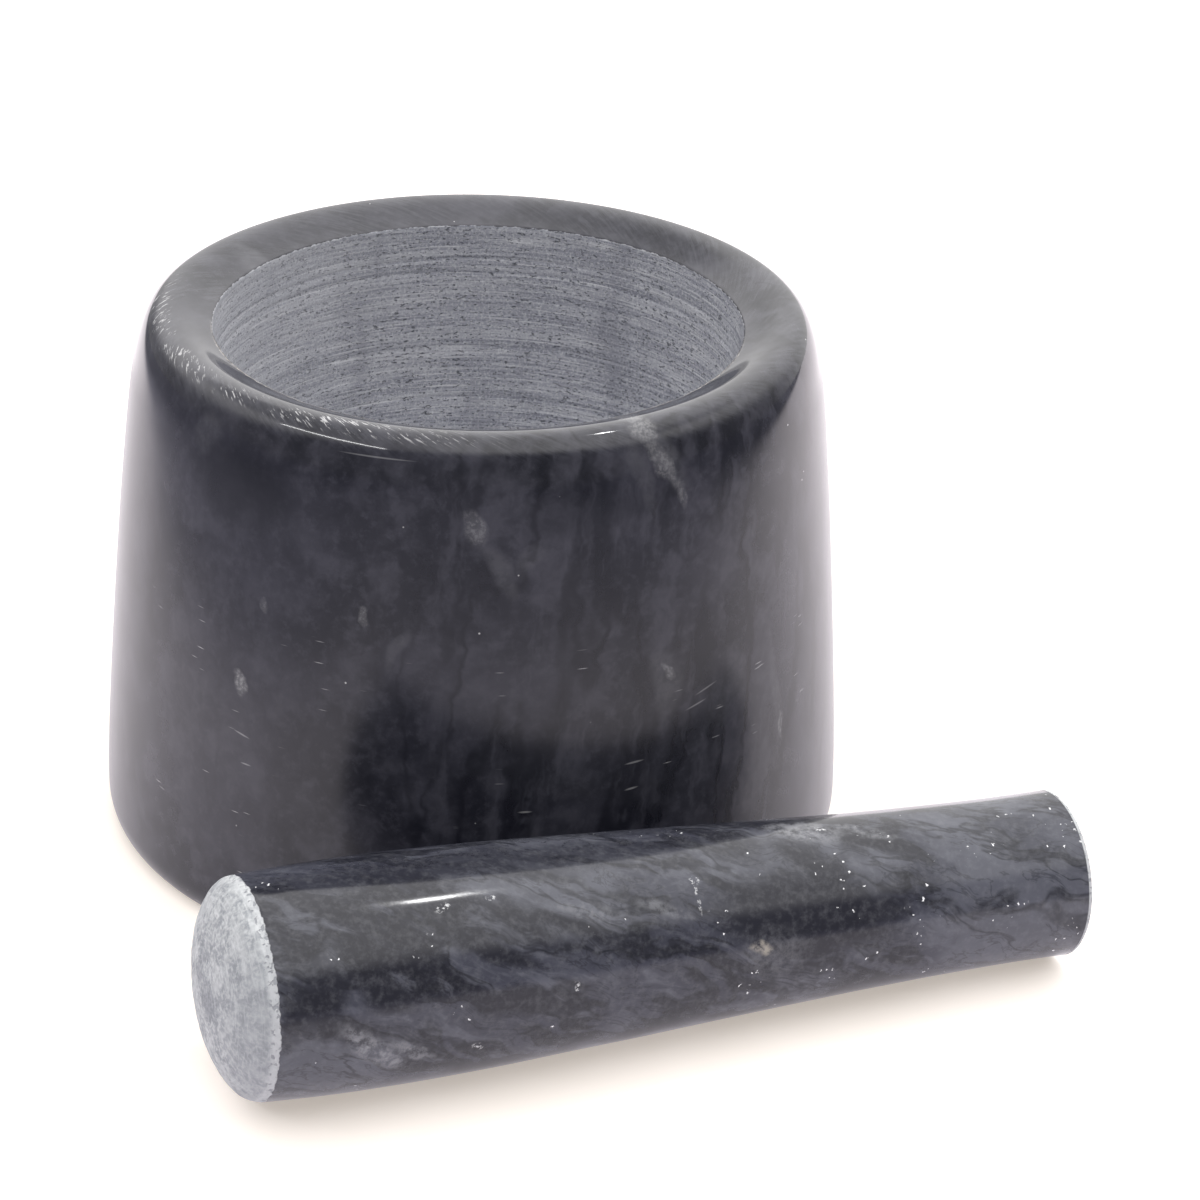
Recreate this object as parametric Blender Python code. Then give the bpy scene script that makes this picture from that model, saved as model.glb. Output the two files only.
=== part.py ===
"""A turned stone mortar with its loose pestle lying on the table in front of it.

The origin is the middle of the mortar's flat base and +Z is up along its turning axis.
-Y is the side that the pestle lies on. Everything is in metres.
"""
import math

import bpy
from mathutils import Matrix, Vector
from mathutils.geometry import interpolate_bezier

# The mortar's turned outline: (radius, height) pairs, slopes, and how far its curve handles reach
BOWL_FLOOR_HEIGHT = 0.0240
BOWL_FLOOR_REACH = 0.0280
BOWL_TURN = (0.0439, 0.0380)
BOWL_BEND = (0.0464, 0.0600)
WALL_LOW = (0.0476, 0.0700)
WALL_HIGH = (0.0484, 0.0840)
LIP = (0.0489, 0.0982)
LIP_SLOPE = math.radians(18.5)
LIP_REACH = 0.0036
CROWN = (0.0575, 0.1012)
CROWN_REACH_IN = 0.0030
CROWN_REACH_OUT = 0.0043
SHOULDER = (0.0640, 0.0881)
SHOULDER_LEAN = math.radians(8.3)
SHOULDER_REACH_UP = 0.0065
SHOULDER_REACH_DOWN = 0.0097
BELLY = (0.0700, 0.0055)
BELLY_REACH_UP = 0.0160
BELLY_REACH_DOWN = 0.0033
BASE_RADIUS = 0.0659
BASE_REACH = 0.0026

# The pestle along its own axis from the working end to the grip end; SWELL and WAIST are the
# handles of its shaft's curve
WORKING_RADIUS = 0.0193
GRIP_RADIUS = 0.0151
SHAFT_LENGTH = 0.1531
SWELL = (0.0222, 0.25 * SHAFT_LENGTH)
WAIST = (0.0147, 0.62 * SHAFT_LENGTH)
DOME_HEIGHT = 0.0078
GRIP_CHAMFER = 0.0004

# The place on the table under the working end's edge, and the way the pestle points from there
LYING_START = Vector((-0.0343, -0.1104, 0.0))
LYING_HEADING = math.radians(22.4)

SAME_PLACE = 0.00001

MORTAR_SIDES = 72
PESTLE_SIDES = 40

# How many straight steps each curved stretch of outline is drawn with
BOWL_STEPS = 10
WALL_STEPS = 4
RIM_STEPS = 4
ROLL_STEPS = 9
SIDE_STEPS = 6
FOOT_STEPS = 4
SHAFT_STEPS = 16
DOME_STEPS = 7


def empty_the_scene():
    for old in list(bpy.data.objects):
        bpy.data.objects.remove(old)


def stone(name, colour, roughness):
    """A plain stone material for one sub-part."""
    material = bpy.data.materials.new(name)
    material.use_nodes = True
    shader = material.node_tree.nodes["Principled BSDF"]
    shader.inputs["Base Color"].default_value = (*colour, 1.0)
    shader.inputs["Roughness"].default_value = roughness
    shader.inputs["Metallic"].default_value = 0.0
    return material


def curve(start, start_handle, end_handle, end, steps):
    """Points of a smooth stretch of outline, each a (radius, height) pair."""
    corners = [Vector((x, z, 0.0)) for x, z in (start, start_handle, end_handle, end)]
    return [(p.x, p.y) for p in interpolate_bezier(*corners, steps + 1)]


def turned(name, outline, sides, material):
    """A solid turned about its own Z axis from an outline that runs down its outer side."""
    mesh = bpy.data.meshes.new(name)
    points = [(radius, 0.0, height) for radius, height in outline]
    edges = [(i, i + 1) for i in range(len(points) - 1)]
    mesh.from_pydata(points, edges, [])
    solid = bpy.data.objects.new(name, mesh)
    bpy.context.collection.objects.link(solid)
    lathe = solid.modifiers.new("lathe", "SCREW")
    lathe.axis = "Z"
    lathe.steps = sides
    lathe.render_steps = sides
    lathe.use_merge_vertices = True
    lathe.merge_threshold = SAME_PLACE
    lathe.use_smooth_shade = True
    mesh.materials.append(material)
    return solid


def mortar_outline():
    """From the bowl's floor on the axis, up the bowl, over the rim and down the outside."""
    lip, crown, shoulder, belly = Vector(LIP), Vector(CROWN), Vector(SHOULDER), Vector(BELLY)
    floor = Vector((0.0, BOWL_FLOOR_HEIGHT))
    base = Vector((BASE_RADIUS, 0.0))
    out, up = Vector((1.0, 0.0)), Vector((0.0, 1.0))
    rim_slope = Vector((math.cos(LIP_SLOPE), math.sin(LIP_SLOPE)))
    lean = Vector((-math.sin(SHOULDER_LEAN), math.cos(SHOULDER_LEAN)))
    shoulder_up = shoulder + SHOULDER_REACH_UP * lean
    shoulder_down = shoulder - SHOULDER_REACH_DOWN * lean
    stretches = (
        curve(floor, floor + BOWL_FLOOR_REACH * out, BOWL_TURN, BOWL_BEND, BOWL_STEPS),
        curve(BOWL_BEND, WALL_LOW, WALL_HIGH, lip, WALL_STEPS),
        curve(lip, lip + LIP_REACH * rim_slope, crown - CROWN_REACH_IN * out, crown, RIM_STEPS),
        curve(crown, crown + CROWN_REACH_OUT * out, shoulder_up, shoulder, ROLL_STEPS),
        curve(shoulder, shoulder_down, belly + BELLY_REACH_UP * up, belly, SIDE_STEPS),
        curve(belly, belly - BELLY_REACH_DOWN * up, base + BASE_REACH * out, base, FOOT_STEPS),
    )
    outline = [tuple(floor)]
    for stretch in stretches:
        outline += stretch[1:]
    return outline + [(0.0, 0.0)]


def shaft_outline():
    """The shaft's side from the working end's edge to the chamfer, with its swell."""
    chamfer_start = (GRIP_RADIUS, SHAFT_LENGTH - GRIP_CHAMFER)
    return curve((WORKING_RADIUS, 0.0), SWELL, WAIST, chamfer_start, SHAFT_STEPS)


def pestle_outline():
    """From the grip end's middle, down the swelling shaft and round the domed working end."""
    outline = [(0.0, SHAFT_LENGTH), (GRIP_RADIUS - GRIP_CHAMFER, SHAFT_LENGTH)]
    outline += reversed(shaft_outline())
    for step in range(1, DOME_STEPS):
        turn = math.pi / 2 * step / DOME_STEPS
        outline.append((WORKING_RADIUS * math.cos(turn), -DOME_HEIGHT * math.sin(turn)))
    return outline + [(0.0, -DOME_HEIGHT)]


def lying_pose():
    """The pestle's place on the table, where it rests on its swell and on its grip end's edge."""
    shaft = shaft_outline()
    grip_radius, grip_height = shaft[-1]
    slope = max((radius - grip_radius) / (grip_height - height) for radius, height in shaft[:-1])
    laid_down = Matrix.Rotation(math.pi / 2 + math.atan(slope), 4, "Y")
    heading = Matrix.Rotation(LYING_HEADING, 4, "Z")
    turn = heading @ laid_down
    up_side = turn.to_3x3() @ Vector((-1.0, 0.0, 0.0))
    reach = grip_radius + slope * grip_height
    return Matrix.Translation(LYING_START + reach * up_side) @ turn


def main():
    empty_the_scene()
    mortar_stone = stone("mortar_stone", (0.045, 0.045, 0.052), 0.15)
    pestle_stone = stone("pestle_stone", (0.075, 0.080, 0.095), 0.2)
    turned("mortar", mortar_outline(), MORTAR_SIDES, mortar_stone)
    pestle = turned("pestle", pestle_outline(), PESTLE_SIDES, pestle_stone)
    pestle.matrix_world = lying_pose()


main()
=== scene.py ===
"""A polished dark marble mortar with its pestle lying in front of it, on a white studio table.

Both pieces are turned again here, finer than in the CAD, with their waviness, turning rings,
ground ends and chips in the mesh. Everything is in metres, in the CAD's frame.
"""
import math

import bpy
import numpy as np
from mathutils import Matrix, Vector


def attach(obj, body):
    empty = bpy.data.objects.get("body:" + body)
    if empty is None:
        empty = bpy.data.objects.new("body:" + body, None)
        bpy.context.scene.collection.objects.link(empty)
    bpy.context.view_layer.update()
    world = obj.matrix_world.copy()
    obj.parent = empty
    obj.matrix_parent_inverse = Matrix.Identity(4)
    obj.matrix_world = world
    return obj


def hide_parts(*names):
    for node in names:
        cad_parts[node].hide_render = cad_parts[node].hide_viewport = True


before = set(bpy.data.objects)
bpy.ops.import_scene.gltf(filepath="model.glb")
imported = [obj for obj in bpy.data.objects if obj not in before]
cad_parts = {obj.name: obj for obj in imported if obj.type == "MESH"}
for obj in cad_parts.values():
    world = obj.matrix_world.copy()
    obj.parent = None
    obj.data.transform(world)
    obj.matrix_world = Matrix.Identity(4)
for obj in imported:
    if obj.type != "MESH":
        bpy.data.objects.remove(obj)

# The mortar's outline, the same as the CAD's: (radius, height) pairs and curve handle reaches
BOWL_FLOOR_HEIGHT = 0.0240
BOWL_FLOOR_REACH = 0.0280
BOWL_TURN = (0.0439, 0.0380)
BOWL_BEND = (0.0464, 0.0600)
WALL_LOW = (0.0476, 0.0700)
WALL_HIGH = (0.0484, 0.0840)
LIP = (0.0489, 0.0982)
LIP_SLOPE = math.radians(18.5)
LIP_REACH = 0.0036
CROWN = (0.0575, 0.1012)
CROWN_REACH_IN = 0.0030
CROWN_REACH_OUT = 0.0043
SHOULDER = (0.0640, 0.0881)
SHOULDER_LEAN = math.radians(8.3)
SHOULDER_REACH_UP = 0.0065
SHOULDER_REACH_DOWN = 0.0097
BELLY = (0.0700, 0.0055)
BELLY_REACH_UP = 0.0160
BELLY_REACH_DOWN = 0.0033
BASE_RADIUS = 0.0659
BASE_REACH = 0.0026

# The pestle, along its own axis from the working end to the grip end, and where it lies
WORKING_RADIUS = 0.0193
GRIP_RADIUS = 0.0151
SHAFT_LENGTH = 0.1531
SWELL = (0.0222, 0.25 * SHAFT_LENGTH)
WAIST = (0.0147, 0.62 * SHAFT_LENGTH)
DOME_HEIGHT = 0.0078
GRIP_CHAMFER = 0.0004
LYING_START = Vector((-0.0343, -0.1104, 0.0))
LYING_HEADING = math.radians(22.4)

MORTAR_COLUMNS = 280
PESTLE_COLUMNS = 220

# How far apart the mesh rows are along each stretch of outline
BOWL_SPACING = 0.0009
WALL_SPACING = 0.00033
RIM_SPACING = 0.0004
ROLL_SPACING = 0.0005
SIDE_SPACING = 0.0014
FOOT_SPACING = 0.0007
BASE_SPACING = 0.011
SHAFT_SPACING = 0.0002
SHAFT_FINE_UP_TO = 0.004
SHAFT_THINNING = 3
GRIP_SPACING = 0.0014
DOME_ROWS = 66
CURVE_SAMPLES = 600
DOME_SAMPLES = 400

# The relief in the meshes: grooves are (height, depth) pairs in the bowl, waves (depth, size)
BOWL_GROOVES = ((0.0912, 0.00012), (0.0886, 0.00016), (0.0735, 0.00012), (0.0628, 0.00014))
GROOVE_HALF_WIDTH = 0.0006
FINE_RING_DEPTH = 0.000045
COARSE_RING_DEPTH = 0.00006
LIP_CHIP_DEPTH = 0.00015
MORTAR_WAVES = ((0.00007, 0.030), (0.00002, 0.009))
PESTLE_WAVES = ((0.00007, 0.014), (0.00001, 0.005))
GRINDING_DEPTH = 0.00004
GRAIN_DEPTH = 0.00005
DOME_SETBACK = 0.00008
EDGE_CHIP_DEPTH = 0.00014
EDGE_FLAKE_DEPTH = 0.00022

CAMERA_PLACE = Vector((0.02595, -0.70501, 0.38993))
CAMERA_TILT = 0.457
CAMERA_ROLL = 0.031
CAMERA_LENS = 124.0
CAMERA_SHIFT = (-0.00938, -0.00543)

FLOOR_RADIUS = 6.0
FLOOR_SIDES = 96
FLOOR_DROP = 0.0001

UP = (0.0, 0.0, 1.0)
FORWARD = (0.0, -1.0, 0.0)
BACKWARD = (0.0, 1.0, 0.0)
RIGHTWARD = (1.0, 0.0, 0.0)
NEAR_RIGHT = (0.82, -0.57, 0.0)
NEAR_LEFT = (-0.75, -0.66, 0.0)

# The stone, as linear colours
MORTAR_DARK = (0.0108, 0.0114, 0.0172)
MORTAR_MIDDLE = (0.0260, 0.0262, 0.0365)
MORTAR_PALE = (0.050, 0.050, 0.064)
# Pale rim colour: wear, and a painted sheen for the rim's reflection
MORTAR_WEAR_AND_SHEEN = (0.075, 0.077, 0.092)
MORTAR_VEIN = (0.0060, 0.0065, 0.0110)
MORTAR_CLOUD = (0.085, 0.086, 0.098)
MORTAR_WHITE = (0.27, 0.27, 0.28)
SCRATCH_WHITE = (0.50, 0.50, 0.51)
# Painted highlight along the lip on the side towards the camera
LIP_PAINTED_HIGHLIGHT = (0.48, 0.45, 0.41)
BOWL_DARK = (0.190, 0.197, 0.235)
BOWL_LIGHT = (0.34, 0.347, 0.385)
BOWL_RING = (0.50, 0.505, 0.53)
BOWL_GRAIN = (0.70, 0.71, 0.73)
BOWL_SPECK = (0.07, 0.075, 0.09)
BOWL_BAND = (0.13, 0.135, 0.165)
PESTLE_BLACK = (0.0085, 0.0090, 0.0130)
PESTLE_DARK = (0.0150, 0.0155, 0.0225)
PESTLE_MIDDLE = (0.044, 0.046, 0.062)
PESTLE_PALE = (0.090, 0.094, 0.115)
PESTLE_CLOUD = (0.23, 0.235, 0.255)
PESTLE_WHITE = (0.80, 0.81, 0.83)
PESTLE_BEIGE = (0.30, 0.275, 0.235)
GROUND_DARK = (0.23, 0.245, 0.265)
GROUND_LIGHT = (0.40, 0.415, 0.43)
GROUND_PALE = (0.57, 0.585, 0.60)
GROUND_PATCH = (0.15, 0.16, 0.185)

# The table and the room, as linear colours and strengths
TABLE_SHADE = (0.66, 0.63, 0.61)
TABLE_PALE = (0.68, 0.65, 0.63)
TABLE_MIRRORED = (0.67, 0.635, 0.67)
TABLE_FRONT = (0.36, 0.352, 0.42)
TABLE_CORNERS = (0.08, 0.08, 0.10)
GLOW_SEEN = (1.0, 0.90, 0.80)
GLOW_MIRRORED = (1.0, 0.93, 0.965)
GLOW_NEAR = 0.44
GLOW_FAR = 0.92
ROOM_COLOUR = (1.0, 0.985, 0.975)
ROOM_DIM = 0.29
ROOM_LOW = 1.1
ROOM_HIGH = 2.5
ROOM_SEEN = 1.2
BRIGHTEST_SIDE = 0.22

# The slanting strokes on the rim and the winding of the pestle's clouds
STROKE_SLANT = 0.035
STROKES_AROUND = 22.0
STROKES_ACROSS = 2000.0
PESTLE_TWIST = -24.0

# Marks in the stone, and dark patches of painted reflection: angle, height, half width, half
# height, lean and strength. Angles and leans are in degrees; -90 is the side towards the camera
MORTAR_PATCHES = (
    (-84.0, 0.0770, 0.0035, 0.0075, 20.0, 0.50),
    (-78.5, 0.0790, 0.0030, 0.0065, -30.0, 0.40),
    (-58.5, 0.0530, 0.0040, 0.0080, 10.0, 0.45),
    (-47.0, 0.0500, 0.0080, 0.0090, 0.0, 0.28),
    (-56.5, 0.0950, 0.0030, 0.0110, 28.0, 0.55),
    (-61.5, 0.0930, 0.0020, 0.0090, 5.0, 0.35),
    (-33.0, 0.0420, 0.0020, 0.0130, 5.0, 0.45),
    (-98.0, 0.0640, 0.0022, 0.0050, -25.0, 0.45),
    (-135.0, 0.0945, 0.0040, 0.0050, 0.0, 0.40),
    (152.0, 0.0995, 0.0040, 0.0030, 0.0, 0.50),
)
# Dark patches painted under the shoulder: a painted reflection of the dark room in front
MORTAR_PAINTED_DARK_REFLECTIONS = (
    (-127.0, 0.0875, 0.0150, 0.0090, 0.0, 0.80),
    (-70.0, 0.0885, 0.0130, 0.0060, 0.0, 0.50),
)
MORTAR_FLECKS = (
    (-87.8, 0.0862, 0.0022, 0.0045, 25.0, 0.35),
    (-125.6, 0.0500, 0.0017, 0.0030, 25.0, 0.75),
    (-104.7, 0.0685, 0.0012, 0.0024, 0.0, 0.45),
    (-57.0, 0.0945, 0.0020, 0.0070, 28.0, 0.38),
    (-53.6, 0.0885, 0.0014, 0.0035, 8.0, 0.32),
    (-59.5, 0.1005, 0.0030, 0.0022, 0.0, 0.60),
    (-32.8, 0.0360, 0.0010, 0.0034, 5.0, 0.45),
    (-122.0, 0.0665, 0.0008, 0.0014, 0.0, 0.25),
    (-57.0, 0.0560, 0.0009, 0.0030, 35.0, 0.40),
)
MORTAR_SCRATCHES = (
    (-104.0, 0.0974, 0.0080, 0.00018, 0.0, 0.20),
    (-125.0, 0.0405, 0.0022, 0.00022, -10.0, 0.32),
    (-124.0, 0.0350, 0.0014, 0.00020, 0.0, 0.32),
    (-63.0, 0.0400, 0.0022, 0.00025, 3.0, 0.30),
    (-63.5, 0.0350, 0.0016, 0.00025, 5.0, 0.30),
    (-80.0, 0.0330, 0.0015, 0.00025, 0.0, 0.30),
    (-52.0, 0.0480, 0.0028, 0.00022, 12.0, 0.25),
    (-50.0, 0.0505, 0.0030, 0.00022, 15.0, 0.22),
)
# Dark marks near the working end, and painted dark reflections: the long band along the top and the
# large patch in front towards the grip
PESTLE_DARK_MARKS_AND_PAINTED_REFLECTIONS = (
    (-173.0, 0.0380, 0.0065, 0.0620, 0.0, 0.55),
    (-117.0, 0.0970, 0.0095, 0.0230, -8.0, 0.95),
    (-112.0, 0.0075, 0.0060, 0.0060, 0.0, 0.75),
    (-109.0, 0.0190, 0.0030, 0.0090, -25.0, 0.85),
    (-126.0, 0.0360, 0.0022, 0.0150, -22.0, 0.80),
    (-130.0, 0.0530, 0.0018, 0.0120, -18.0, 0.75),
    (-95.0, 0.0420, 0.0040, 0.0110, -20.0, 0.60),
)
PESTLE_CLOUDS = (
    (-80.0, 0.0165, 0.0028, 0.0100, -40.0, 0.90),
    (-76.0, 0.0230, 0.0020, 0.0060, -30.0, 0.70),
    (-178.0, 0.1010, 0.0045, 0.0090, -20.0, 0.75),
    (-172.0, 0.1120, 0.0020, 0.0080, -25.0, 0.55),
    (-137.0, 0.0560, 0.0016, 0.0080, -15.0, 0.40),
    (-97.0, 0.0900, 0.0060, 0.0080, 0.0, 0.25),
    (-133.0, 0.0700, 0.0015, 0.0070, -20.0, 0.40),
)
PESTLE_FLECKS = (
    (-148.0, 0.0305, 0.0009, 0.0020, 30.0, 0.80),
    (-150.0, 0.0395, 0.0006, 0.0010, 0.0, 0.70),
    (-98.0, 0.0525, 0.0010, 0.0008, 0.0, 0.70),
    (-72.0, 0.0350, 0.0009, 0.0012, 0.0, 0.60),
    (-147.0, 0.0768, 0.0012, 0.0010, 0.0, 0.80),
    (-138.0, 0.0766, 0.0040, 0.0004, 0.0, 0.50),
    (-177.0, 0.1045, 0.0008, 0.0016, 0.0, 0.80),
)
DOME_PATCH = (0.0, -0.0030, -0.0076)
PESTLE_BEIGE_SPOT = (-102.5, 0.0877, 0.0012, 0.0030, -15.0, 0.90)


# ---------------------------------------------------------------- outlines and turned meshes

def stretch(start, start_handle, end_handle, end, spacing):
    """Evenly spaced points along one Bezier stretch of outline, each a (radius, height) row."""
    corners = np.array([start, start_handle, end_handle, end], float)
    t = np.linspace(0.0, 1.0, CURVE_SAMPLES)[:, None]
    weights = ((1 - t) ** 3, 3 * t * (1 - t) ** 2, 3 * t * t * (1 - t), t ** 3)
    fine = sum(w * c for w, c in zip(weights, corners))
    along = np.concatenate(([0.0], np.cumsum(np.linalg.norm(np.diff(fine, axis=0), axis=1))))
    count = max(int(round(along[-1] / spacing)), 2)
    wanted = np.linspace(0.0, along[-1], count + 1)
    return np.stack([np.interp(wanted, along, fine[:, k]) for k in (0, 1)], axis=1)


def straight(start, end, spacing):
    """Evenly spaced points along a straight stretch of outline."""
    start, end = np.array(start, float), np.array(end, float)
    return stretch(start, start + (end - start) / 3, end - (end - start) / 3, end, spacing)


def joined(stretches):
    """One outline from stretches that follow each other."""
    rows = [stretches[0]] + [s[1:] for s in stretches[1:]]
    return np.concatenate(rows)


def mortar_outline():
    """From the bowl's floor on the axis, up the bowl, over the rim and down the outside."""
    out, up = np.array([1.0, 0.0]), np.array([0.0, 1.0])
    lip, crown, shoulder, belly = (np.array(p) for p in (LIP, CROWN, SHOULDER, BELLY))
    floor = BOWL_FLOOR_HEIGHT * up
    base = BASE_RADIUS * out
    rim_slope = np.array([math.cos(LIP_SLOPE), math.sin(LIP_SLOPE)])
    lean = np.array([-math.sin(SHOULDER_LEAN), math.cos(SHOULDER_LEAN)])
    shoulder_up = shoulder + SHOULDER_REACH_UP * lean
    shoulder_down = shoulder - SHOULDER_REACH_DOWN * lean
    return joined([
        stretch(floor, floor + BOWL_FLOOR_REACH * out, BOWL_TURN, BOWL_BEND, BOWL_SPACING),
        stretch(BOWL_BEND, WALL_LOW, WALL_HIGH, lip, WALL_SPACING),
        stretch(lip, lip + LIP_REACH * rim_slope, crown - CROWN_REACH_IN * out, crown, RIM_SPACING),
        stretch(crown, crown + CROWN_REACH_OUT * out, shoulder_up, shoulder, ROLL_SPACING),
        stretch(shoulder, shoulder_down, belly + BELLY_REACH_UP * up, belly, SIDE_SPACING),
        stretch(belly, belly - BELLY_REACH_DOWN * up, base + BASE_REACH * out, base, FOOT_SPACING),
        straight(base, (0.0, 0.0), BASE_SPACING),
    ])


def shaft_outline():
    """The pestle's side from its working end's edge to the chamfer."""
    chamfer_start = (GRIP_RADIUS, SHAFT_LENGTH - GRIP_CHAMFER)
    shaft = stretch((WORKING_RADIUS, 0.0), SWELL, WAIST, chamfer_start, SHAFT_SPACING)
    row = np.arange(len(shaft))
    by_the_edge = shaft[:, 1] < SHAFT_FINE_UP_TO
    keep = by_the_edge | (row % SHAFT_THINNING == 0) | (row == len(shaft) - 1)
    return shaft[keep]


def pestle_outline():
    """From the working end's middle, over its dome, along the swelling shaft to the grip end."""
    turn = np.linspace(0.0, math.pi / 2, DOME_SAMPLES)
    dome = np.stack([WORKING_RADIUS * np.sin(turn), -DOME_HEIGHT * np.cos(turn)], axis=1)
    along = np.concatenate(([0.0], np.cumsum(np.linalg.norm(np.diff(dome, axis=0), axis=1))))
    wanted = np.linspace(0.0, along[-1], DOME_ROWS)
    dome = np.stack([np.interp(wanted, along, dome[:, k]) for k in (0, 1)], axis=1)
    shaft = shaft_outline()
    chamfer_end = (GRIP_RADIUS - GRIP_CHAMFER, SHAFT_LENGTH)
    return joined([
        dome,
        shaft,
        straight(shaft[-1], chamfer_end, SHAFT_SPACING),
        straight(chamfer_end, (0.0, SHAFT_LENGTH), GRIP_SPACING),
    ])


def lattice_noise(places, seed):
    """Smooth noise from -1 to 1 with one hill or hollow for each unit of distance."""
    whole = np.floor(places)
    part = places - whole
    part = part * part * (3 - 2 * part)
    whole = whole.astype(np.int64)
    total = np.zeros(len(places))
    for corner in range(8):
        step = np.array([corner & 1, corner >> 1 & 1, corner >> 2 & 1])
        cell = whole + step
        mixed = cell[:, 0] * 73856093 ^ cell[:, 1] * 19349663 ^ cell[:, 2] * 83492791
        mixed = (mixed + seed * 2654435761) & 0x7FFFFFFF
        mixed = (mixed * 1103515245 + 12345) & 0x7FFFFFFF
        mixed = ((mixed >> 7) ^ mixed) * 2246822519 & 0x7FFFFFFF
        value = (mixed & 0xFFFF) / 32767.5 - 1.0
        weight = np.prod(np.where(step == 1, part, 1 - part), axis=1)
        total += weight * value
    return total


class Surface:
    """The points of a turned surface before it is made: a row for each outline point."""

    def __init__(self, outline, columns, stone_on_left):
        self.outline = outline
        self.stone_on_left = stone_on_left
        self.columns = columns
        step = np.diff(outline, axis=0)
        self.arc = np.concatenate(([0.0], np.cumsum(np.linalg.norm(step, axis=1))))
        tangent = np.gradient(outline, self.arc, axis=0)
        tangent /= np.linalg.norm(tangent, axis=1)[:, None]
        left = np.stack([-tangent[:, 1], tangent[:, 0]], axis=1)
        self.normal = -left if stone_on_left else left
        self.angle = np.arange(columns) / columns * 2 * math.pi - math.pi / 2
        rows = len(outline)
        self.arcs = np.repeat(self.arc, columns)
        self.angles = np.tile(self.angle, rows)
        self.radii = np.repeat(outline[:, 0], columns)
        self.heights = np.repeat(outline[:, 1], columns)
        self.push = np.zeros(rows * columns)

    def places(self):
        """Each point's place before it is pushed in or out."""
        return np.stack([
            self.radii * np.cos(self.angles), self.radii * np.sin(self.angles), self.heights
        ], axis=1)

    def round_places(self, around, along):
        """Places for noise that changes slowly round the axis and fast along the outline."""
        return np.stack([
            np.cos(self.angles) * around, np.sin(self.angles) * around, self.arcs * along
        ], axis=1)

    def pushed(self):
        """Each point's place after it is pushed along its outline's normal."""
        outward = np.repeat(self.normal[:, 0], self.columns)
        upward = np.repeat(self.normal[:, 1], self.columns)
        radii = self.radii + outward * self.push
        heights = self.heights + upward * self.push
        across, deep = radii * np.cos(self.angles), radii * np.sin(self.angles)
        return np.stack([across, deep, heights], axis=1)


def bump_of(value, start, end):
    """0 outside start to end and 1 in the middle, rising smoothly."""
    t = np.clip((value - start) / (end - start), 0.0, 1.0)
    return np.sin(t * math.pi) ** 2


def rise(value, start, end):
    """0 before start and 1 after end, smooth between."""
    t = np.clip((value - start) / (end - start), 0.0, 1.0)
    return t * t * (3 - 2 * t)


def turned_mesh(name, surface):
    """A closed mesh of a Surface, whose first and last outline points are on the axis."""
    columns, rows = surface.columns, len(surface.outline)
    points = surface.pushed()
    rings = points[columns:(rows - 1) * columns]
    ends = np.array([points[:columns].mean(axis=0), points[-columns:].mean(axis=0)])
    vertices = np.concatenate([rings, ends])
    first_end, last_end = len(rings), len(rings) + 1
    faces = []
    for row in range(rows - 3):
        here, above = row * columns, (row + 1) * columns
        for column in range(columns):
            following = (column + 1) % columns
            faces.append((here + column, here + following, above + following, above + column))
    last_ring = (rows - 3) * columns
    for column in range(columns):
        following = (column + 1) % columns
        faces.append((first_end, following, column))
        faces.append((last_end, last_ring + column, last_ring + following))
    if not surface.stone_on_left:
        faces = [face[::-1] for face in faces]
    mesh = bpy.data.meshes.new(name)
    mesh.from_pydata(vertices.tolist(), [], faces)
    mesh.shade_smooth()
    keep = slice(columns, (rows - 1) * columns)
    still = surface.places()
    plain = np.concatenate([still[keep], ends])
    write_attribute(mesh, "stone_place", plain)
    turning = np.stack([np.cos(surface.angles), np.sin(surface.angles), surface.arcs], axis=1)
    end_turning = np.array([[0.0, 0.0, 0.0], [0.0, 0.0, surface.arc[-1]]])
    write_attribute(mesh, "turning", np.concatenate([turning[keep], end_turning]))
    return mesh


def write_attribute(mesh, name, values):
    """Keeps one vector for each vertex, which the materials read."""
    layer = mesh.attributes.new(name, "FLOAT_VECTOR", "POINT")
    layer.data.foreach_set("vector", values.astype(np.float32).ravel())


def add_piece(name, mesh, material):
    """Puts a mesh in the scene as a piece with its material."""
    mesh.materials.append(material)
    piece = bpy.data.objects.new(name, mesh)
    bpy.context.scene.collection.objects.link(piece)
    return piece


# ---------------------------------------------------------------- the two meshes

def arc_at_height(surface, height, inside):
    """How far along the outline the bowl's wall (inside) or the outer side is at a height."""
    crown = int(np.argmax(surface.outline[:, 1]))
    part = slice(0, crown) if inside else slice(crown, len(surface.outline))
    heights, arcs = surface.outline[part, 1], surface.arc[part]
    return float(arcs[np.argmin(np.abs(heights - height))])


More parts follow.
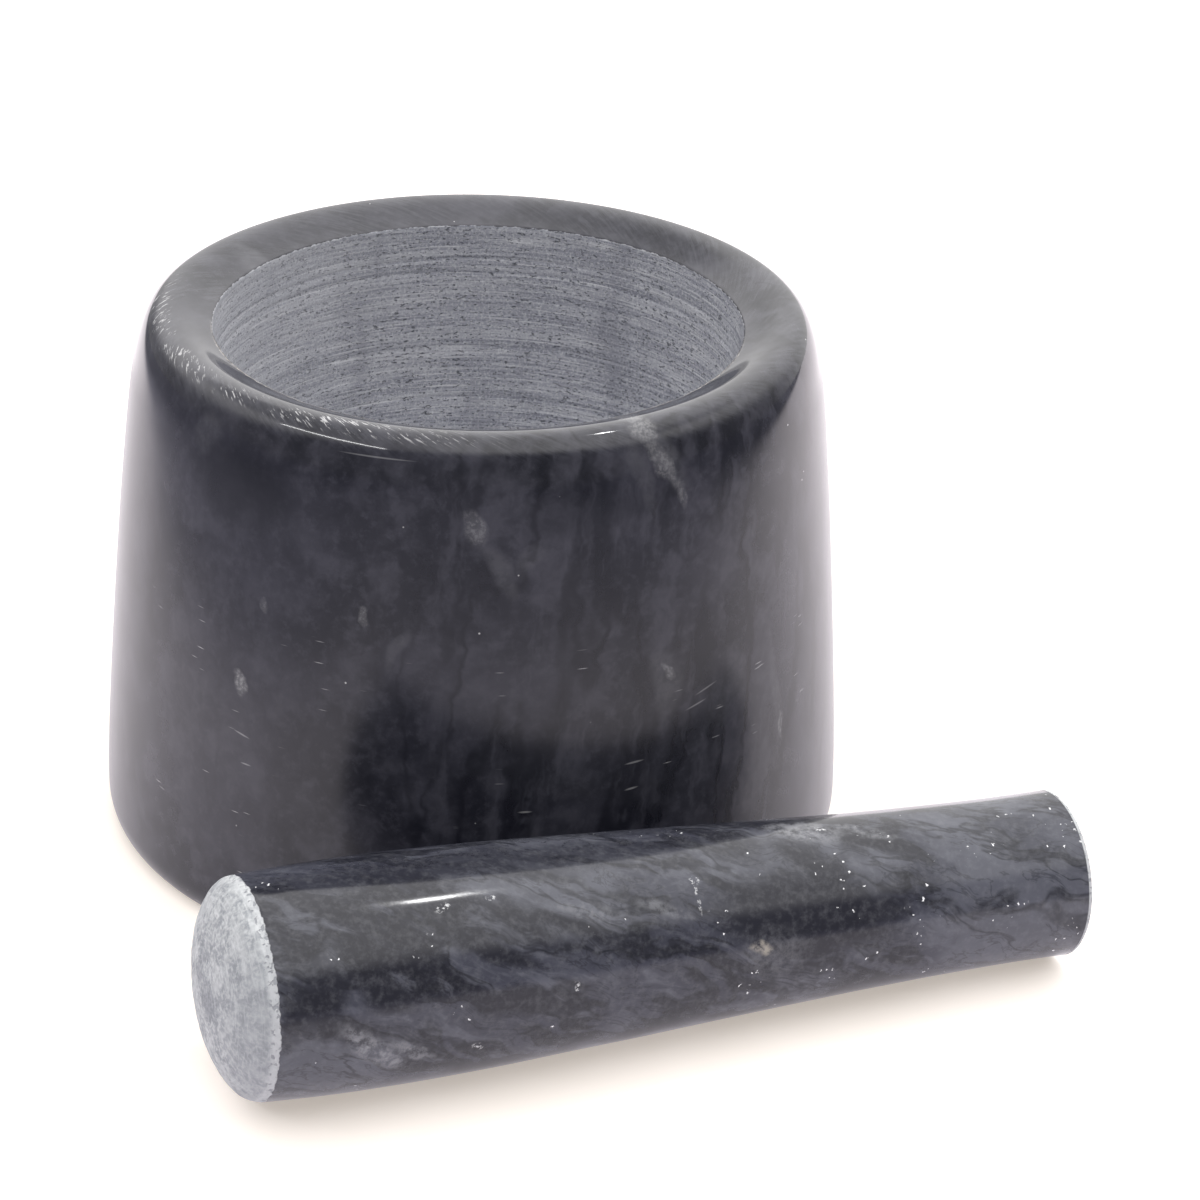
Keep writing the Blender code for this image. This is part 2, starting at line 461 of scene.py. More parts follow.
def mortar_surface():
    """The mortar with turning rings in its bowl, a chipped lip and slightly wavy polished sides."""
    surface = Surface(mortar_outline(), MORTAR_COLUMNS, False)
    lip = arc_at_height(surface, LIP[1], True)
    shoulder = arc_at_height(surface, SHOULDER[1], False)
    foot = arc_at_height(surface, 0.004, False)
    arcs = surface.arcs
    in_bowl = 1 - rise(arcs, lip - 0.0006, lip)
    rings = FINE_RING_DEPTH * lattice_noise(surface.round_places(1.5, 1300.0), 3)
    rings += COARSE_RING_DEPTH * lattice_noise(surface.round_places(1.2, 420.0), 4)
    for height, depth in BOWL_GROOVES:
        ring = arc_at_height(surface, height, True)
        wander = 0.0003 * lattice_noise(surface.round_places(2.0, 0.0), int(height * 1e4))
        groove = bump_of(arcs + wander, ring - GROOVE_HALF_WIDTH, ring + GROOVE_HALF_WIDTH)
        rings -= depth * groove
    surface.push += rings * in_bowl
    chips = rise(lattice_noise(surface.round_places(16.0, 500.0), 6), 0.2, 0.9)
    surface.push -= LIP_CHIP_DEPTH * chips * bump_of(arcs, lip - 0.0007, lip + 0.0008)
    on_side = rise(arcs, lip + 0.004, shoulder) * (1 - rise(arcs, foot, foot + 0.004))
    for seed, (depth, size) in enumerate(MORTAR_WAVES, 8):
        surface.push += depth * lattice_noise(surface.places() / size, seed) * on_side
    return surface


def edge_arc(surface):
    """How far along the pestle's outline its working end's edge is."""
    on_dome = surface.outline[:, 1] <= 0.0
    return float(surface.arc[on_dome].max())


def grip_arc(surface):
    """How far along the pestle's outline the chamfer of its grip end starts."""
    heights, arcs = surface.outline[:, 1], surface.arc
    return float(np.interp(SHAFT_LENGTH - GRIP_CHAMFER, heights, arcs))


def pestle_surface():
    """The pestle with a rough domed working end, a chipped edge round it and a wavy shaft."""
    surface = Surface(pestle_outline(), PESTLE_COLUMNS, True)
    edge = edge_arc(surface)
    arcs = surface.arcs
    grip = grip_arc(surface)
    places = surface.places()
    on_dome = 1 - rise(arcs, edge - 0.0004, edge)
    grinding = GRINDING_DEPTH * lattice_noise(surface.round_places(5.0, 1100.0), 21)
    grain = GRAIN_DEPTH * lattice_noise(places / 0.0009, 22)
    surface.push += (grinding + grain - DOME_SETBACK) * on_dome
    chips = rise(lattice_noise(places / 0.0012, 23), 0.0, 0.7)
    flakes = rise(lattice_noise(places / 0.0036, 24), 0.1, 0.8)
    by_the_edge = bump_of(arcs, edge - 0.0028, edge + 0.0008)
    surface.push -= (EDGE_CHIP_DEPTH * chips + EDGE_FLAKE_DEPTH * flakes) * by_the_edge
    on_shaft = rise(arcs, edge, edge + 0.006) * (1 - rise(arcs, grip - 0.004, grip))
    for seed, (depth, size) in enumerate(PESTLE_WAVES, 25):
        surface.push += depth * (lattice_noise(places / size, seed) - 1.0) * on_shaft
    return surface


def lying_pose():
    """The pestle's place on the table, where it rests on its swell and on its grip end's edge."""
    shaft = shaft_outline()
    grip_radius, grip_height = shaft[-1]
    slope = float(np.max((shaft[:-1, 0] - grip_radius) / (grip_height - shaft[:-1, 1])))
    laid_down = Matrix.Rotation(math.pi / 2 + math.atan(slope), 4, "Y")
    heading = Matrix.Rotation(LYING_HEADING, 4, "Z")
    turn = heading @ laid_down
    up_side = turn.to_3x3() @ Vector((-1.0, 0.0, 0.0))
    reach = float(grip_radius + slope * grip_height)
    return Matrix.Translation(LYING_START + reach * up_side) @ turn


# ---------------------------------------------------------------- material nodes

class Graph:
    """Adds nodes to a material or the world, and links whatever sockets they are given."""

    def __init__(self, tree):
        self.tree = tree

    def put(self, socket, value):
        if isinstance(value, bpy.types.NodeSocket):
            self.tree.links.new(value, socket)
        elif socket.type == "RGBA" and len(value) == 3:
            socket.default_value = (*value, 1.0)
        else:
            socket.default_value = value

    def add(self, kind, inputs, output=0, **settings):
        node = self.tree.nodes.new("ShaderNode" + kind)
        for key, value in settings.items():
            setattr(node, key, value)
        for key, value in inputs.items():
            self.put(node.inputs[key], value)
        return node.outputs[output]

    def math(self, operation, a, b=0.0, clamp=False):
        return self.add("Math", {0: a, 1: b}, operation=operation, use_clamp=clamp)

    def vector(self, operation, a, b):
        return self.add("VectorMath", {0: a, 1: b}, operation=operation)

    def dot(self, a, b):
        return self.add("VectorMath", {0: a, 1: b}, output="Value", operation="DOT_PRODUCT")

    def noise(self, place, scale, detail=3.0, rough=0.5, distortion=0.0):
        inputs = {"Vector": place, "Scale": scale, "Detail": detail, "Roughness": rough,
                  "Distortion": distortion}
        return self.add("TexNoise", inputs)

    def colour_noise(self, place, scale, detail=2.0):
        inputs = {"Vector": place, "Scale": scale, "Detail": detail}
        return self.add("TexNoise", inputs, output=1)

    def cells(self, place, scale, output="Distance"):
        return self.add("TexVoronoi", {"Vector": place, "Scale": scale}, output=output)

    def span(self, value, low, high, to_low=0.0, to_high=1.0):
        inputs = {"Value": value, "From Min": low, "From Max": high, "To Min": to_low,
                  "To Max": to_high}
        return self.add("MapRange", inputs, interpolation_type="SMOOTHSTEP")

    def times(self, *values):
        result = values[0]
        for value in values[1:]:
            result = self.math("MULTIPLY", result, value)
        return result

    def blend(self, amount, a, b):
        node = self.tree.nodes.new("ShaderNodeMix")
        node.data_type = "RGBA"
        node.clamp_factor = True
        self.put(node.inputs[0], amount)
        self.put(node.inputs[6], a)
        self.put(node.inputs[7], b)
        return node.outputs[2]

    def mix(self, amount, a, b):
        node = self.tree.nodes.new("ShaderNodeMix")
        node.data_type = "FLOAT"
        node.clamp_factor = True
        self.put(node.inputs[0], amount)
        self.put(node.inputs[2], a)
        self.put(node.inputs[3], b)
        return node.outputs[0]

    def attribute(self, name):
        return self.add("Attribute", {}, output="Vector", attribute_name=name)

    def warped(self, place, scale, reach):
        """A place moved about by noise, up to reach metres."""
        wander = self.vector("SUBTRACT", self.colour_noise(place, scale), (0.5, 0.5, 0.5))
        far = 2.0 * reach
        return self.vector("ADD", place, self.vector("MULTIPLY", wander, (far, far, far)))

    def spot(self, place, angle, height, half_width, half_height, lean):
        """1 in the middle of an oval mark on a turned side, falling to 0 at its outline.

        Angle and lean are in degrees and the rest in metres. A positive lean tips the mark's
        top towards smaller angles.
        """
        turn, tip = math.radians(angle), math.radians(lean)
        outward = Vector((math.cos(turn), math.sin(turn), 0.0))
        around = Vector((-math.sin(turn), math.cos(turn), 0.0))
        up = Vector((0.0, 0.0, 1.0))
        across = (around * math.cos(tip) + up * math.sin(tip)) / half_width
        along = (up * math.cos(tip) - around * math.sin(tip)) / half_height
        u = self.math("SUBTRACT", self.dot(place, across), height * across.z)
        v = self.math("SUBTRACT", self.dot(place, along), height * along.z)
        away = self.math("ADD", self.times(u, u), self.times(v, v))
        on_this_side = self.math("GREATER_THAN", self.dot(place, outward), 0.0)
        return self.times(self.span(away, 0.0, 1.0, 1.0, 0.0), on_this_side)

    def spots(self, place, rows):
        """The strongest of several marks; each row is a spot's measures and its strength."""
        total = 0.0
        for angle, height, half_width, half_height, lean, strength in rows:
            mark = self.spot(place, angle, height, half_width, half_height, lean)
            total = self.math("MAXIMUM", total, self.times(mark, strength))
        return total

    def ridge(self, value, middle, width):
        """1 where value passes middle, falling to 0 at width on either side: a line."""
        away = self.math("ABSOLUTE", self.math("SUBTRACT", value, middle))
        return self.span(away, 0.0, width, 1.0, 0.0)


def new_material(name):
    material = bpy.data.materials.new(name)
    material.use_nodes = True
    shader = material.node_tree.nodes["Principled BSDF"]
    return material, Graph(material.node_tree), shader


def finish_surface(graph, shader, colour, rough, height, bump_distance):
    """Links a material's colour, roughness and height to its shader."""
    graph.put(shader.inputs["Base Color"], colour)
    graph.put(shader.inputs["Roughness"], rough)
    inputs = {"Height": height, "Distance": bump_distance, "Strength": 1.0}
    graph.put(shader.inputs["Normal"], graph.add("Bump", inputs))
    shader.inputs["IOR"].default_value = 1.5


def mortar_polish(graph, place, turning, crown):
    """The polished stone's colour: soft clouds, dark steep veins, pale flecks and scratches, a pale
    rim of wear and painted sheen, and painted dark reflections under the shoulder.
    """
    warped = graph.warped(place, 60.0, 0.006)
    finely = graph.warped(place, 260.0, 0.0016)
    clouds = graph.noise(warped, 30.0, 6.0, 0.65)
    mottle = graph.noise(finely, 120.0, 4.0, 0.6)
    colour = graph.blend(graph.span(clouds, 0.37, 0.63), MORTAR_DARK, MORTAR_MIDDLE)
    colour = graph.blend(graph.span(mottle, 0.42, 0.70, 0.0, 0.60), colour, MORTAR_PALE)
    grain = graph.noise(place, 480.0, 4.0, 0.75)
    colour = graph.blend(graph.span(grain, 0.46, 0.72, 0.0, 0.38), colour, MORTAR_PALE)
    right = graph.span(graph.dot(place, NEAR_RIGHT), 0.020, 0.045)
    slanting = graph.add("VectorRotate", {"Vector": finely, "Angle": 0.16, "Axis": NEAR_RIGHT})
    steep = graph.vector("MULTIPLY", slanting, (1.0, 1.0, 0.17))
    veins = graph.noise(steep, 70.0, 2.0, 0.55)
    lines = graph.times(graph.ridge(veins, 0.47, 0.05), graph.mix(right, 0.15, 0.80))
    colour = graph.blend(lines, colour, MORTAR_VEIN)
    fibres = graph.span(graph.noise(steep, 260.0, 3.0, 0.6), 0.5, 0.75)
    colour = graph.blend(graph.times(fibres, graph.mix(right, 0.15, 0.70)), colour, MORTAR_PALE)
    on_rim = graph.span(graph.dot(place, UP), 0.0970, 0.0992)
    crossing = crossing_place(graph, place, turning)
    streaks = graph.noise(graph.vector("MULTIPLY", crossing, (0.4, 1.0, 0.5)), 1.0, 4.0, 0.7)
    # The rim's pale streaks are wear and a painted sheen
    rim_wear_and_sheen = graph.times(graph.span(graph.noise(finely, 90.0, 4.0, 0.65), 0.35, 0.65, 0.3, 1.0),
                       graph.span(streaks, 0.40, 0.64, 0.0, 0.45))
    colour = graph.blend(graph.times(on_rim, rim_wear_and_sheen), colour, MORTAR_WEAR_AND_SHEEN)
    # Painted dark reflection under the shoulder, blended to the darkest stone colour
    colour = graph.blend(graph.spots(warped, MORTAR_PAINTED_DARK_REFLECTIONS), colour, MORTAR_DARK)
    broken = graph.span(graph.noise(place, 420.0, 4.0, 0.7), 0.38, 0.62)
    patches = graph.times(graph.spots(warped, MORTAR_PATCHES), graph.mix(broken, 0.55, 1.0))
    colour = graph.blend(patches, colour, MORTAR_CLOUD)
    crumbs = graph.span(graph.noise(place, 1100.0, 4.0, 0.75), 0.42, 0.62, 0.35, 1.0)
    flecks = graph.times(graph.spots(finely, MORTAR_FLECKS), crumbs)
    colour = graph.blend(flecks, colour, MORTAR_WHITE)
    hair_lines = graph.spots(place, MORTAR_SCRATCHES)
    scratches = graph.math("MAXIMUM", hair_lines, mortar_scratches(graph, place, turning, crown))
    return graph.blend(scratches, colour, SCRATCH_WHITE)


def crossing_place(graph, place, turning):
    """A place on the rim for noise that is drawn out into short strokes slanting across it."""
    arc = graph.add("SeparateXYZ", {0: turning}, output=2)
    around = graph.math("ARCTAN2", graph.dot(place, RIGHTWARD), graph.dot(place, FORWARD))
    tilted = graph.math("SUBTRACT", arc, graph.times(around, STROKE_SLANT))
    along, across = graph.times(around, STROKES_AROUND), graph.times(tilted, STROKES_ACROSS)
    return graph.add("CombineXYZ", {0: along, 2: across})


def mortar_scratches(graph, place, turning, crown):
    """Fine pale scratches: level ones low on the side and a patch of wear on the left of the rim.
    """
    height = graph.dot(place, UP)
    level = graph.vector("MULTIPLY", place, (130.0, 130.0, 1500.0))
    pick = graph.add("SeparateXYZ", {0: graph.cells(level, 1.0, "Color")}, output=0)
    cluster = graph.span(graph.noise(place, 55.0, 2.0), 0.50, 0.62)
    low = graph.times(cluster, graph.span(height, 0.070, 0.055, 0.0, 0.7))
    dashes = graph.span(graph.cells(level, 1.0), 0.16, 0.05)
    side = graph.times(dashes, graph.span(pick, 0.66, 0.72), low)
    arc = graph.add("SeparateXYZ", {0: turning}, output=2)
    strokes = graph.noise(crossing_place(graph, place, turning), 1.0, 3.0, 0.6)
    band = graph.span(graph.ridge(arc, crown + 0.0010, 0.0034), 0.1, 0.8, 0.0, 0.8)
    left = graph.span(graph.dot(place, NEAR_LEFT), 0.030, 0.052)
    patchy = graph.span(graph.noise(place, 140.0, 2.0), 0.34, 0.52)
    rim = graph.times(graph.span(strokes, 0.55, 0.63), band, left, patchy)
    dust = graph.cells(place, 300.0)
    pick_dust = graph.add("SeparateXYZ", {0: graph.cells(place, 300.0, "Color")}, output=0)
    dots = graph.times(graph.span(dust, 0.07, 0.03), graph.span(pick_dust, 0.90, 0.93))
    return graph.math("MAXIMUM", graph.math("MAXIMUM", side, rim), graph.times(dots, 0.9))


def mortar_bowl(graph, place, turning):
    """The turned bowl's colour and relief: fine rings, rows of dark specks, steep dark bands, and
    painted light that makes the wall paler to the left and higher up.
    """
    slow = graph.vector("MULTIPLY", turning, (2.0, 2.0, 1900.0))
    rings = graph.noise(slow, 1.0, 3.0, 0.6)
    bands = graph.noise(graph.vector("MULTIPLY", turning, (1.2, 1.2, 420.0)), 1.0, 2.0)
    lines = graph.noise(graph.vector("MULTIPLY", turning, (3.0, 3.0, 3200.0)), 1.0, 1.0)
    specks = graph.noise(graph.vector("MULTIPLY", turning, (45.0, 45.0, 2600.0)), 1.0, 2.0, 0.6)
    grain = graph.noise(place, 2200.0, 2.0, 0.6)
    steep = graph.noise(graph.vector("MULTIPLY", place, (1.0, 1.0, 0.25)), 55.0, 4.0, 0.6)
    bowl = graph.blend(graph.span(rings, 0.33, 0.66), BOWL_DARK, BOWL_LIGHT)
    bowl = graph.blend(graph.span(bands, 0.45, 0.70, 0.0, 0.35), bowl, BOWL_RING)
    bowl = graph.blend(graph.span(lines, 0.59, 0.70, 0.0, 0.85), bowl, BOWL_RING)
    bowl = graph.blend(graph.span(specks, 0.57, 0.64, 0.0, 0.95), bowl, BOWL_SPECK)
    bowl = graph.blend(graph.span(grain, 0.42, 0.75, 0.0, 0.40), bowl, BOWL_GRAIN)
    bowl = graph.blend(graph.span(steep, 0.47, 0.30, 0.0, 0.45), bowl, BOWL_BAND)
    # Painted light: the bowl's wall paler to the left and higher up
    painted_light_left = graph.span(graph.dot(place, (-0.9, -0.1, 0.3)), 0.025, 0.070, 0.0, 0.33)
    bowl = graph.blend(painted_light_left, bowl, BOWL_RING)
    relief = graph.math("ADD", graph.times(rings, 0.6), graph.times(grain, 0.4))
    return bowl, graph.math("SUBTRACT", relief, graph.span(specks, 0.60, 0.72, 0.0, 0.6))


def mortar_material(lip, crown):
    """Dark clouded marble: polished outside, turned and left matte in the bowl, with a painted
    highlight along the near lip.
    """
    material, graph, shader = new_material("mortar_marble")
    place = graph.attribute("stone_place")
    turning = graph.attribute("turning")
    arc = graph.add("SeparateXYZ", {0: turning}, output=2)
    height = graph.add("SeparateXYZ", {0: place}, output=2)
    polished = mortar_polish(graph, place, turning, crown)
    bowl, bowl_relief = mortar_bowl(graph, place, turning)
    ragged = graph.noise(place, 900.0, 2.0)
    lip_here = graph.math("ADD", arc, graph.span(ragged, 0.2, 0.8, -0.0002, 0.0002))
    matte = graph.span(lip_here, lip + 0.00005, lip - 0.00015)
    # A pale line painted just past the lip on the side towards the camera: a painted highlight
    near_side = graph.span(graph.dot(place, FORWARD), 0.0, 0.030)
    painted_lip_highlight = graph.times(graph.ridge(lip_here, lip + 0.0002, 0.0003), near_side)
    colour = graph.blend(painted_lip_highlight, graph.blend(matte, polished, bowl), LIP_PAINTED_HIGHLIGHT)
    polish = graph.span(height, 0.0890, 0.0975, 0.23, 0.07)
    rough = graph.mix(matte, polish, 0.85)
    ripple = graph.times(graph.noise(place, 260.0, 2.0), 0.05)
    finish_surface(graph, shader, colour, rough, graph.mix(matte, ripple, bowl_relief), 0.00010)
    shader.inputs["Specular IOR Level"].default_value = 0.40
    return material


def pestle_polish(graph, place):
    """The shaft's colour: grey clouds and dark veins that wind round it, marks, painted dark
    reflections and sparkles.
    """
    along = graph.add("SeparateXYZ", {0: place}, output=2)
    warped = graph.warped(place, 75.0, 0.0045)
    finely = graph.warped(place, 300.0, 0.0012)
    wind = {"Vector": warped, "Angle": graph.times(along, PESTLE_TWIST), "Axis": UP}
    flow = graph.vector("MULTIPLY", graph.add("VectorRotate", wind), (1.0, 1.0, 0.33))
    swirl = graph.noise(flow, 75.0, 4.0, 0.55, 0.6)
    wisps = graph.noise(flow, 210.0, 4.0, 0.65, 0.4)
    clouds = graph.noise(warped, 36.0, 3.0, 0.55)
    mottle = graph.noise(place, 700.0, 3.0, 0.65)
    colour = graph.blend(graph.span(swirl, 0.43, 0.57), PESTLE_DARK, PESTLE_MIDDLE)
    colour = graph.blend(graph.span(clouds, 0.47, 0.60, 0.0, 0.75), colour, PESTLE_PALE)
    colour = graph.blend(graph.span(wisps, 0.52, 0.66, 0.0, 0.65), colour, PESTLE_PALE)
    colour = graph.blend(graph.times(graph.ridge(swirl, 0.49, 0.03), 0.65), colour, PESTLE_BLACK)
    colour = graph.blend(graph.times(graph.ridge(wisps, 0.45, 0.03), 0.45), colour, PESTLE_BLACK)
    wispy = graph.span(wisps, 0.35, 0.7, 1.0, 0.75)
    # Dark marks in the stone and painted dark reflections on the shaft
    marks_and_painted_reflections = graph.times(graph.spots(warped, PESTLE_DARK_MARKS_AND_PAINTED_REFLECTIONS), wispy)
    colour = graph.blend(graph.math("MULTIPLY", marks_and_painted_reflections, 1.5, clamp=True), colour, PESTLE_DARK)
    broken = graph.span(graph.noise(place, 420.0, 4.0, 0.7), 0.36, 0.64)
    pale_marks = graph.times(graph.spots(finely, PESTLE_CLOUDS), broken)
    colour = graph.blend(pale_marks, colour, PESTLE_CLOUD)
    beige_mark = graph.times(graph.spots(finely, (PESTLE_BEIGE_SPOT,)), broken)
    colour = graph.blend(beige_mark, colour, PESTLE_BEIGE)
    colour = graph.blend(graph.span(mottle, 0.40, 0.80, 0.0, 0.16), colour, PESTLE_CLOUD)
    crumbs = graph.span(graph.noise(place, 1500.0, 3.0, 0.7), 0.50, 0.60)
    flecks = graph.times(graph.spots(finely, PESTLE_FLECKS), crumbs)
    white = graph.math("MAXIMUM", flecks, pestle_sparkles(graph, place, along))
    return graph.blend(white, colour, PESTLE_WHITE)


def pestle_sparkles(graph, place, along):
    """Tiny white grains in clusters, most of them towards the grip end."""
    cell_size = 880.0
    jagged = graph.warped(place, 1500.0, 0.0006)
    grains = graph.cells(jagged, cell_size)
    pick = graph.add("SeparateXYZ", {0: graph.cells(jagged, cell_size, "Color")}, output=0)
    cluster = graph.noise(place, 130.0, 3.0)
    wanted = graph.span(along, 0.03, 0.13, 0.66, 0.565)
    near = graph.math("GREATER_THAN", cluster, wanted)
    return graph.times(graph.span(grains, 0.24, 0.12), graph.span(pick, 0.55, 0.61), near)


def ground_stone(graph, place, turning, edge):
    """The working end's colour and relief: pale, grainy and ground in rings, with painted shade on
    its low front side.
    """
    arc = graph.add("SeparateXYZ", {0: turning}, output=2)
    grinding = graph.noise(graph.vector("MULTIPLY", turning, (4.0, 4.0, 1700.0)), 1.0, 3.0, 0.6)
    grain = graph.noise(place, 1300.0, 3.0, 0.65)
    mottle = graph.noise(place, 330.0, 4.0, 0.65)
    patch = graph.noise(place, 110.0, 3.0, 0.6)
    middle = graph.add("VectorMath", {0: graph.warped(place, 200.0, 0.002), 1: DOME_PATCH},
                       output="Value", operation="DISTANCE")
    # Painted shade: the working end darker on its low side towards the front
    low_side = graph.span(graph.dot(place, (0.1, -1.0, 0.0)), 0.002, 0.018, 0.0, 0.5)
    near_edge = graph.span(arc, edge - 0.0022, edge - 0.0010)
    pits = graph.times(near_edge, graph.span(graph.noise(place, 1100.0, 2.0), 0.54, 0.64))
    ground = graph.blend(graph.span(mottle, 0.35, 0.65), GROUND_DARK, GROUND_LIGHT)
    ground = graph.blend(graph.span(grain, 0.42, 0.72, 0.0, 0.55), ground, GROUND_PALE)
    ground = graph.blend(graph.span(grinding, 0.50, 0.70, 0.0, 0.5), ground, GROUND_PALE)
    ground = graph.blend(graph.span(patch, 0.55, 0.75, 0.0, 0.4), ground, GROUND_PATCH)
    ground = graph.blend(graph.span(middle, 0.0050, 0.0015, 0.0, 0.5), ground, GROUND_PATCH)
    ground = graph.blend(low_side, ground, GROUND_DARK)
    ground = graph.blend(graph.times(near_edge, 0.45), ground, GROUND_PALE)
    ground = graph.blend(graph.times(pits, 0.6), ground, GROUND_PATCH)
    relief = graph.math("ADD", graph.times(grain, 0.7), graph.times(grinding, 0.8))
    return ground, graph.math("SUBTRACT", relief, pits)


def pestle_material(edge, grip):
    """Swirled dark marble, polished along the shaft and ground rough on the working end."""
    material, graph, shader = new_material("pestle_marble")
    place = graph.attribute("stone_place")
    turning = graph.attribute("turning")
    arc = graph.add("SeparateXYZ", {0: turning}, output=2)
    polished = pestle_polish(graph, place)
    ground, relief = ground_stone(graph, place, turning, edge)
    ragged = graph.noise(place, 650.0, 2.0, 0.5)
    edge_here = graph.math("ADD", arc, graph.span(ragged, 0.2, 0.8, -0.0002, 0.0002))
    matte = graph.span(edge_here, edge + 0.0001, edge - 0.0001)
    chamfer = graph.times(graph.span(arc, grip - 0.0005, grip - 0.0003),
                          graph.span(arc, grip + 0.0007, grip + 0.0005))
    matte = graph.math("ADD", matte, chamfer, clamp=True)
    colour = graph.blend(matte, polished, ground)
    rough = graph.mix(matte, 0.11, 0.8)
    ripple = graph.times(graph.noise(place, 380.0, 3.0), 0.05)
    finish_surface(graph, shader, colour, rough, graph.mix(matte, ripple, relief), 0.00012)
    shader.inputs["Specular IOR Level"].default_value = 0.33
    return material


# ---------------------------------------------------------------- studio

def table_material():
    """White and glowing a little; the stone mirrors it darker in front than the camera sees it."""
    material, graph, shader = new_material("white_table")
    place = graph.add("NewGeometry", {})
    seen = graph.add("LightPath", {}, output="Is Camera Ray")
    mirrored = graph.math("SUBTRACT", 1.0, seen)
    leftward = graph.math("SUBTRACT", graph.dot(place, (-2.5, 0.0, 0.0)), 0.30)
    rightward = graph.math("SUBTRACT", graph.dot(place, (1.2, 0.0, 0.0)), 0.18)
    out_left = graph.math("MAXIMUM", leftward, 0.0)
    out_right = graph.math("MAXIMUM", rightward, 0.0)
    forward = graph.math("ADD", graph.dot(place, FORWARD), graph.math("ADD", out_left, out_right))
    in_front = graph.times(graph.span(forward, 0.15, 0.36), mirrored)
    fine = graph.noise(place, 60.0, 3.0)
    colour = graph.blend(graph.span(fine, 0.3, 0.7), TABLE_SHADE, TABLE_PALE)
    colour = graph.blend(mirrored, colour, TABLE_MIRRORED)
    aside = graph.math("ABSOLUTE", graph.dot(place, RIGHTWARD))
    front = graph.blend(graph.span(aside, 0.25, 0.55), TABLE_FRONT, TABLE_CORNERS)
    graph.put(shader.inputs["Base Color"], graph.blend(in_front, colour, front))
    from_left = graph.vector("ADD", place, (0.08, 0.0, 0.0))
    distance = graph.add("VectorMath", {0: from_left}, output="Value", operation="LENGTH")
    round_about = graph.times(graph.span(distance, 0.15, 0.38),
                              graph.span(graph.dot(place, BACKWARD), -0.08, 0.10))
    glow = graph.mix(in_front, graph.mix(round_about, GLOW_NEAR, GLOW_FAR), 0.0)
    graph.put(shader.inputs["Emission Color"], graph.blend(mirrored, GLOW_SEEN, GLOW_MIRRORED))
    graph.put(shader.inputs["Emission Strength"], glow)
    shader.inputs["Roughness"].default_value = 0.6
    shader.inputs["Specular IOR Level"].default_value = 0.2
    return material


def table():
    """A wide round white table top."""
    points = [(0.0, 0.0, 0.0)]
    for side in range(FLOOR_SIDES):
        angle = 2 * math.pi * side / FLOOR_SIDES
        points.append((FLOOR_RADIUS * math.cos(angle), FLOOR_RADIUS * math.sin(angle), 0.0))
    faces = [(0, 1 + side, 1 + (side + 1) % FLOOR_SIDES) for side in range(FLOOR_SIDES)]
    mesh = bpy.data.meshes.new("studio_table")
    mesh.from_pydata(points, [], faces)
    top = add_piece("studio_table", mesh, table_material())
    top.location.z = -FLOOR_DROP


def area_light(name, place, target, size, watts):
    """A rectangular white lamp that faces a point."""
    data = bpy.data.lights.new(name, "AREA")
    data.shape = "RECTANGLE"
    data.size, data.size_y = size
    data.energy = watts
    lamp = bpy.data.objects.new(name, data)
    bpy.context.scene.collection.objects.link(lamp)
    lamp.location = place
    lamp.rotation_euler = (target - place).to_track_quat("-Z", "Y").to_euler()


def surroundings():
    """A room lit softly from above and behind, and dark in front where the photographer stands."""
    world = bpy.data.worlds.new("studio_room")
    world.use_nodes = True
    bpy.context.scene.world = world
    graph = Graph(world.node_tree)
    background = world.node_tree.nodes["Background"]
    direction = graph.add("TexCoord", {}, output="Generated")
    behind_and_above = graph.dot(direction, (0.0, 0.5, 0.87))
    height = graph.dot(direction, UP)
    off_centre = graph.math("SUBTRACT", graph.dot(direction, RIGHTWARD), BRIGHTEST_SIDE)
    sideways = graph.math("ABSOLUTE", off_centre)
    high_side = graph.times(graph.span(sideways, 0.25, 0.6, 0.0, 0.55),
                            graph.span(height, 0.55, 0.72))
    low_side = graph.times(graph.span(sideways, 0.35, 0.75),
                           graph.span(height, 0.50, 0.12, 0.0, 0.9))
    lit = graph.times(
        graph.span(behind_and_above, 0.06, 0.36),
        graph.math("SUBTRACT", 1.0, high_side),
        graph.math("SUBTRACT", 1.0, low_side),
        graph.span(height, 0.0, 0.95, ROOM_LOW, ROOM_HIGH),
    )
    room = graph.math("ADD", lit, ROOM_DIM)
    seen = graph.add("LightPath", {}, output="Is Camera Ray")
    graph.put(background.inputs["Color"], ROOM_COLOUR)
    graph.put(background.inputs["Strength"], graph.mix(seen, room, ROOM_SEEN))


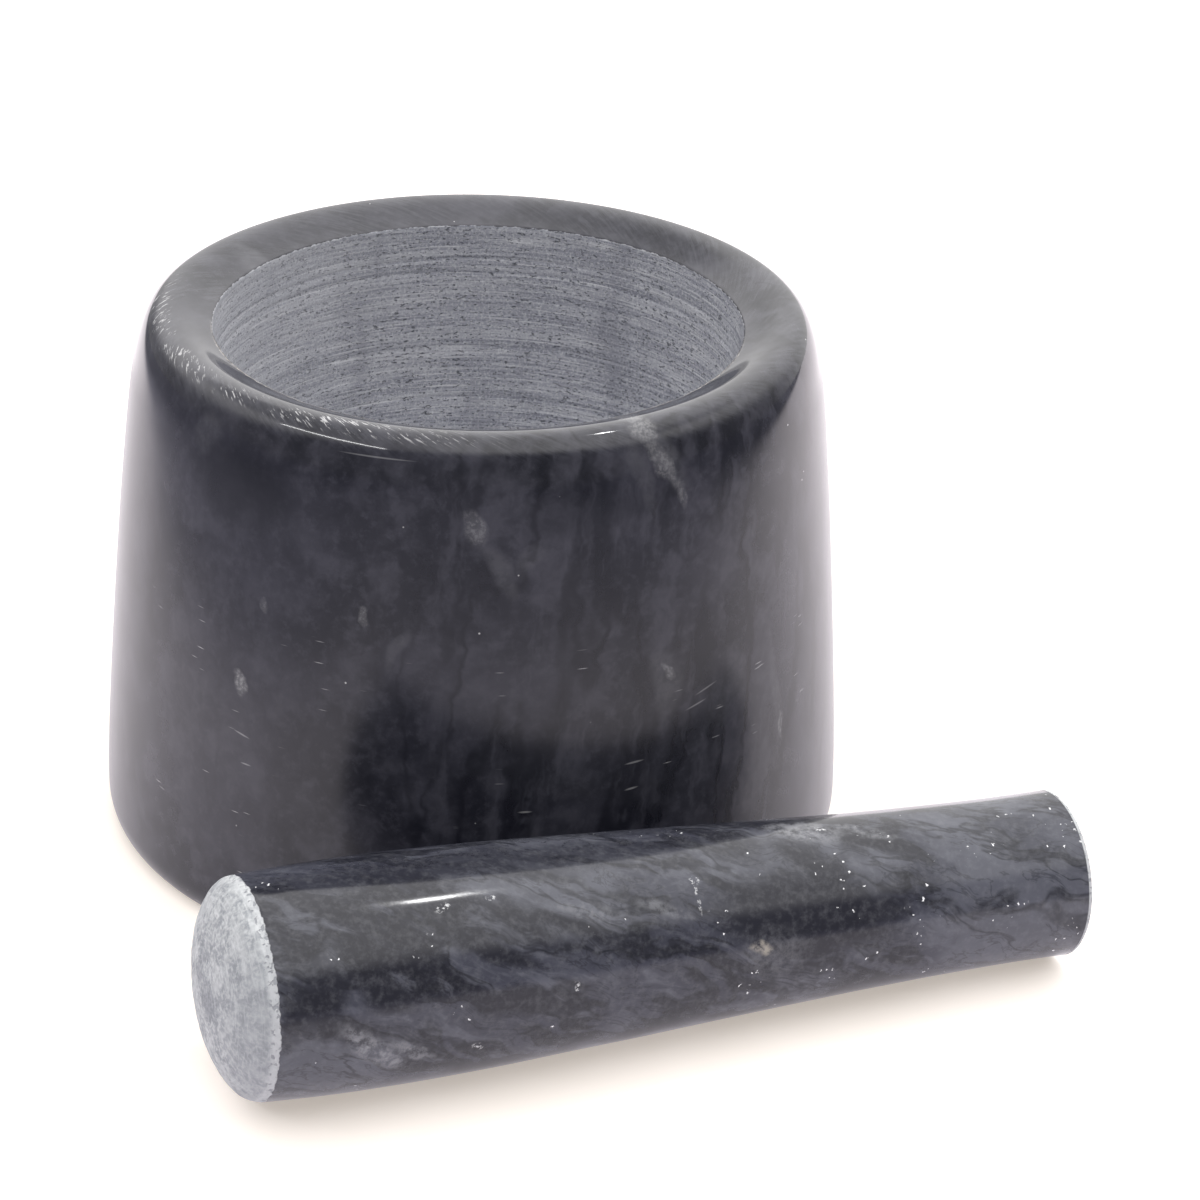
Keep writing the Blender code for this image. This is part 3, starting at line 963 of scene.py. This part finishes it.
def toward(point, azimuth, elevation, distance):
    """A place seen from a point; azimuth 0 is the front and 90 the right, both in degrees."""
    around, up = math.radians(azimuth), math.radians(elevation)
    flat = distance * math.cos(up)
    step = Vector((flat * math.sin(around), -flat * math.cos(around), distance * math.sin(up)))
    return point + step


def lights():
    """Small lamps that draw the thin highlights on the rim and along the pestle."""
    left_rim = Vector((-0.03, -0.05, 0.10))
    pestle_back = Vector((-0.005, -0.095, 0.04))
    area_light("left_strip", toward(left_rim, -52.0, 38.0, 1.5), left_rim, (0.95, 0.045), 3.2)
    area_light("back_lamp", toward(pestle_back, 129.0, 67.0, 1.2), pestle_back, (0.05, 0.05), 0.9)


def camera():
    data = bpy.data.cameras.new("camera")
    data.sensor_width = 36.0
    data.lens = CAMERA_LENS
    data.shift_x, data.shift_y = CAMERA_SHIFT
    data.clip_start = 0.01
    data.clip_end = 100.0
    eye = bpy.data.objects.new("camera", data)
    bpy.context.scene.collection.objects.link(eye)
    tilt = Matrix.Rotation(math.pi / 2 - CAMERA_TILT, 4, "X")
    roll = Matrix.Rotation(CAMERA_ROLL, 4, "Z")
    eye.matrix_world = Matrix.Translation(CAMERA_PLACE) @ tilt @ roll
    bpy.context.scene.camera = eye


def add_mortar():
    """The mortar's visible piece, riding its body."""
    surface = mortar_surface()
    lip = arc_at_height(surface, LIP[1], True)
    crown = arc_at_height(surface, CROWN[1], False)
    mesh = turned_mesh("mortar_stone_body", surface)
    mortar = add_piece("mortar_stone_body", mesh, mortar_material(lip, crown))
    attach(mortar, "mortar")
    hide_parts("mortar")


def add_pestle():
    """The pestle's visible piece where it lies, riding its body."""
    surface = pestle_surface()
    mesh = turned_mesh("pestle_stone_body", surface)
    mesh.transform(lying_pose())
    material = pestle_material(edge_arc(surface), grip_arc(surface))
    pestle = add_piece("pestle_stone_body", mesh, material)
    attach(pestle, "pestle")
    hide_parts("pestle")


def main():
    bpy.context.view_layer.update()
    add_mortar()
    add_pestle()
    table()
    surroundings()
    lights()
    camera()
    bpy.context.scene.view_settings.view_transform = "Standard"


main()
